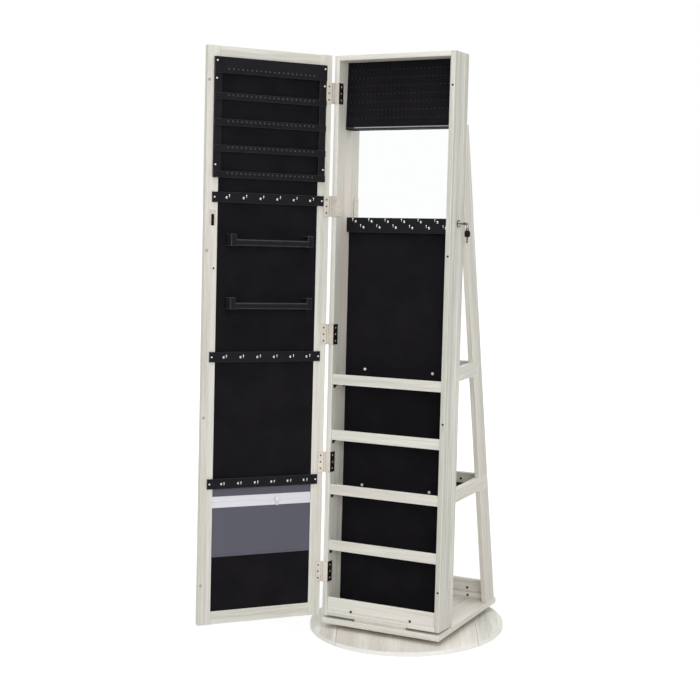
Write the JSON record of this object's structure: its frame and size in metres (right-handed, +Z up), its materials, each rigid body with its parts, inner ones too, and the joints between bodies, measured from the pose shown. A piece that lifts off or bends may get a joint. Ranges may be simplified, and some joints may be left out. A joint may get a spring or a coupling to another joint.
{
  "type": "jewelry cabinet",
  "caption": "Free-standing swivel jewelry cabinet leaning on slanted rear legs, with a framed mirror door, hook bars, earring rack, lipped shelves, lock and rear trays.",
  "frame": {"origin": "centre of the round base's underside, on the swivel axis", "axes": "+Z up the swivel axis, -Y out of the cabinet's front, +X to the right of someone facing it"},
  "size_m": [0.6761, 0.728, 1.5957],
  "materials": {
    "white_wood": "white-washed grain foil, satin",
    "tan_board": "pale washed grain foil, satin",
    "black_board": "black, matt",
    "black_felt": "short flocked felt",
    "black_plastic": "moulded, satin",
    "gloss_black": "glossy",
    "white_plastic": "satin",
    "chrome": "polished",
    "steel": "satin",
    "black_steel": "black, satin",
    "white_screws": "white, satin",
    "mirror": "silvered glass",
    "grey_cloth": "thin woven lining",
    "white_tape": "woven tape"
  },
  "bodies": {
    "base": {"base_middle_board": "tan_board", "base_segments": "white_wood", "bearing_lower_ring": "steel"},
    "bearing": {"bearing_cage": "black_plastic", "bearing_balls": "steel"},
    "cabinet": {"bearing_upper_ring": "steel", "swivel_plate": "white_wood", "base_wedge": "white_wood", "left_side_panel": "white_wood", "right_side_panel": "white_wood", "top_panel": "white_wood", "bottom_panel": "white_wood", "back_panel": "white_wood", "felt_back_panel": "black_felt", "earring_board": "black_felt", "earring_ledge": "gloss_black", "vanity_mirror": "mirror", "necklace_bar": "black_plastic", "necklace_hooks": "chrome", "shelves": "black_felt", "shelf_lips": "white_wood", "bottom_front_rail": "white_wood", "shelf_supports": "black_plastic", "panel_buttons": "white_plastic", "cabinet_magnets": "steel", "hinge_cabinet_leaves": "steel", "hinge_pins": "steel", "hinge_cabinet_screws": "steel", "lock_housing": "chrome", "rear_leg_left": "white_wood", "rear_leg_right": "white_wood", "tray_side_rails": "white_wood", "tray_back_rails": "white_wood", "tray_floors": "black_board", "bottom_rear_rail": "white_wood", "rear_cleat": "white_wood", "frame_screws": "black_steel"},
    "door": {"door_hinge_stile": "white_wood", "door_free_stile": "white_wood", "door_rails": "white_wood", "door_mirror": "mirror", "door_felt_panel": "black_felt", "earring_rack": "black_plastic", "bar_screws": "white_screws", "hook_bars": "black_plastic", "door_hooks": "chrome", "bracelet_bars": "black_plastic", "zip_pocket": "grey_cloth", "zip_tape": "white_tape", "strike_plate": "steel", "door_catch_plates": "steel", "hinge_door_leaves": "steel", "hinge_door_screws": "steel"},
    "lock": {"lock_plug": "chrome", "lock_cam": "steel", "key": "steel"},
    "key_ring": {"key_ring": "steel"},
    "spare_key": {"spare_key": "black_plastic"},
    "zip_slider": {"zip_slider": "steel"},
    "zip_pull": {"zip_pull": "steel"}
  },
  "joints": [
    {"name": "swivel", "type": "hinge", "parent": "base", "child": "cabinet", "pos_m": [0, 0, 0.026], "axis": [0, 0, 1], "continuous": true},
    {"name": "bearing_roll", "type": "hinge", "parent": "base", "child": "bearing", "pos_m": [0, 0, 0.019], "axis": [0, 0, 1], "continuous": true},
    {"name": "door_swing", "type": "hinge", "parent": "cabinet", "child": "door", "pos_m": [-0.1813, -0.1131, 0.8252], "axis": [0, -0.0698, -0.9976], "range_deg": [-125.6, 39.4]},
    {"name": "lock_turn", "type": "hinge", "parent": "cabinet", "child": "lock", "pos_m": [0.178, -0.04283, 1.12753], "axis": [-1, 0, 0], "range_deg": [0, 90]},
    {"name": "key_ring_swing", "type": "hinge", "parent": "lock", "child": "key_ring", "pos_m": [0.204, -0.04283, 1.12613], "axis": [0, -1, 0], "range_deg": [-12, 60]},
    {"name": "spare_key_swing", "type": "hinge", "parent": "key_ring", "child": "spare_key", "pos_m": [0.204, -0.04283, 1.11413], "axis": [0, -1, 0], "range_deg": [-10, 60]},
    {"name": "zip_slide", "type": "slide", "parent": "door", "child": "zip_slider", "axis": [-0.5821, -0.8111, 0.0567], "range_m": [-0.094, 0.178]},
    {"name": "zip_pull_swing", "type": "hinge", "parent": "zip_slider", "child": "zip_pull", "pos_m": [-0.26198, -0.25784, 0.38322], "axis": [0.8131, -0.5807, 0.0406], "range_deg": [-70, 70]}
  ],
  "couplings": [
    {"joint": "bearing_roll", "follows": "swivel", "ratio": 0.5}
  ]
}
